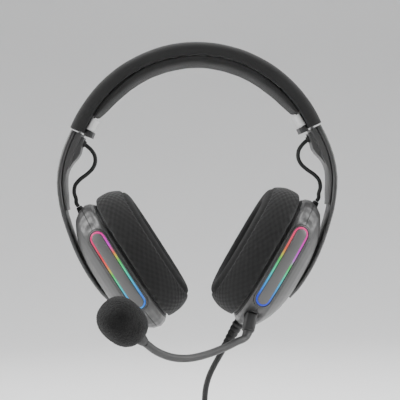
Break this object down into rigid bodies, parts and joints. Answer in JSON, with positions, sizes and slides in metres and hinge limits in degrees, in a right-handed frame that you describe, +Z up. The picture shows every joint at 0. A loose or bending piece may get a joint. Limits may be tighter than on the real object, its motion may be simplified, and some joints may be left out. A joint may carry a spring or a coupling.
{
  "type": "gaming headset",
  "caption": "Over-ear gaming headset with a padded band, sliding arms, tilting oval cups with lit panels, a detachable boom microphone and a tied-up cable.",
  "frame": {"origin": "centre of the underside of the headband pad, where the head carries the headset", "axes": "+Z up, +X to the wearer's left (microphone side), -Y to the wearer's front"},
  "size_m": [0.2064, 0.1545, 0.4392],
  "materials": {
    "shell_plastic": "satin moulded plastic, dark grey",
    "dark_plastic": "matt black moulded plastic",
    "panel_plate": "fine-textured grey plastic",
    "light_tab": "light grey moulded plastic",
    "light_guide": "clear light guide, lit in colours",
    "band_fabric": "fine woven fabric",
    "cushion_fabric": "knitted mesh fabric over foam",
    "leatherette": "fine-grain leatherette",
    "mic_foam": "open-cell foam",
    "rubber": "matt soft rubber",
    "cord": "matt cable jacket",
    "tie_fabric": "hook-and-loop tape",
    "steel": "brushed steel",
    "board": "green circuit board"
  },
  "bodies": {
    "band": {"headband_cover": "band_fabric", "headband_pad": "leatherette", "headband_spring": "steel", "slider_housing_left": "dark_plastic", "band_tab_left": "light_tab", "slider_housing_right": "dark_plastic", "band_tab_right": "light_tab"},
    "arm_left": {"arm_outer_cover_left": "shell_plastic", "arm_inner_cover_left": "shell_plastic", "slider_rail_left": "steel", "arm_gland_left": "rubber", "link_cable_left": "rubber"},
    "arm_right": {"arm_outer_cover_right": "shell_plastic", "arm_inner_cover_right": "shell_plastic", "slider_rail_right": "steel", "arm_gland_right": "rubber", "link_cable_right": "rubber"},
    "cup_left": {"cup_outer_shell_left": "shell_plastic", "cup_inner_shell_left": "shell_plastic", "panel_bezel_left": "dark_plastic", "light_guide_left": "light_guide", "panel_plate_left": "panel_plate", "pivot_bracket_left": "steel", "pivot_pin_left": "steel", "baffle_plate_left": "dark_plastic", "speaker_driver_left": "dark_plastic", "cushion_ring_left": "dark_plastic", "ear_screen_left": "cushion_fabric", "ear_cushion_left": "cushion_fabric", "cup_gland_left": "rubber", "main_board": "board", "mic_socket": "dark_plastic", "cable_boot": "rubber", "cable_lead": "cord", "cable_hank": "cord", "cable_tie": "tie_fabric", "cable_tail": "cord", "usb_plug": "dark_plastic", "usb_shell": "steel"},
    "cup_right": {"cup_outer_shell_right": "shell_plastic", "cup_inner_shell_right": "shell_plastic", "panel_bezel_right": "dark_plastic", "light_guide_right": "light_guide", "panel_plate_right": "panel_plate", "pivot_bracket_right": "steel", "pivot_pin_right": "steel", "baffle_plate_right": "dark_plastic", "speaker_driver_right": "dark_plastic", "cushion_ring_right": "dark_plastic", "ear_screen_right": "cushion_fabric", "ear_cushion_right": "cushion_fabric", "cup_gland_right": "rubber"},
    "volume_wheel": {"volume_wheel": "dark_plastic"},
    "mute_button": {"mute_button": "dark_plastic"},
    "mic_plug": {"mic_plug": "dark_plastic"},
    "mic_boom": {"boom_tube": "rubber", "boom_collar": "dark_plastic", "mic_capsule": "steel", "foam_windscreen": "mic_foam"}
  },
  "joints": [
    {"name": "slider_left", "type": "slide", "parent": "band", "child": "arm_left", "axis": [0.5, 0, -0.866], "range_m": [0, 0.025]},
    {"name": "cup_tilt_left", "type": "hinge", "parent": "arm_left", "child": "cup_left", "pos_m": [0.06674, 0, -0.15172], "axis": [0, 1, 0], "range_deg": [-6, 3], "deforming": ["link_cable_left"]},
    {"name": "slider_right", "type": "slide", "parent": "band", "child": "arm_right", "axis": [-0.5, 0, -0.866], "range_m": [0, 0.025]},
    {"name": "cup_tilt_right", "type": "hinge", "parent": "arm_right", "child": "cup_right", "pos_m": [-0.06674, 0, -0.15172], "axis": [0, -1, 0], "range_deg": [-6, 3], "deforming": ["link_cable_right"]},
    {"name": "mic_unplug", "type": "slide", "parent": "cup_left", "child": "mic_plug", "axis": [-0.2689, -0.3884, -0.8814], "range_m": [0, 0.018]},
    {"name": "boom_bend", "type": "hinge", "parent": "mic_plug", "child": "mic_boom", "pos_m": [0.0329, -0.0308, -0.1929], "axis": [0.6153, -0.7883, 0], "range_deg": [-8, 20]},
    {"name": "volume_turn", "type": "hinge", "parent": "cup_left", "child": "volume_wheel", "pos_m": [0.06476, 0.0324, -0.14347], "axis": [0.8526, 0, -0.5225], "range_deg": [-135, 135]},
    {"name": "mute_press", "type": "slide", "parent": "cup_left", "child": "mute_button", "axis": [-0.4064, -0.8791, 0.249], "range_m": [0, 0.001], "stiffness_N_per_m": 600, "springref_m": -0.0005}
  ]
}
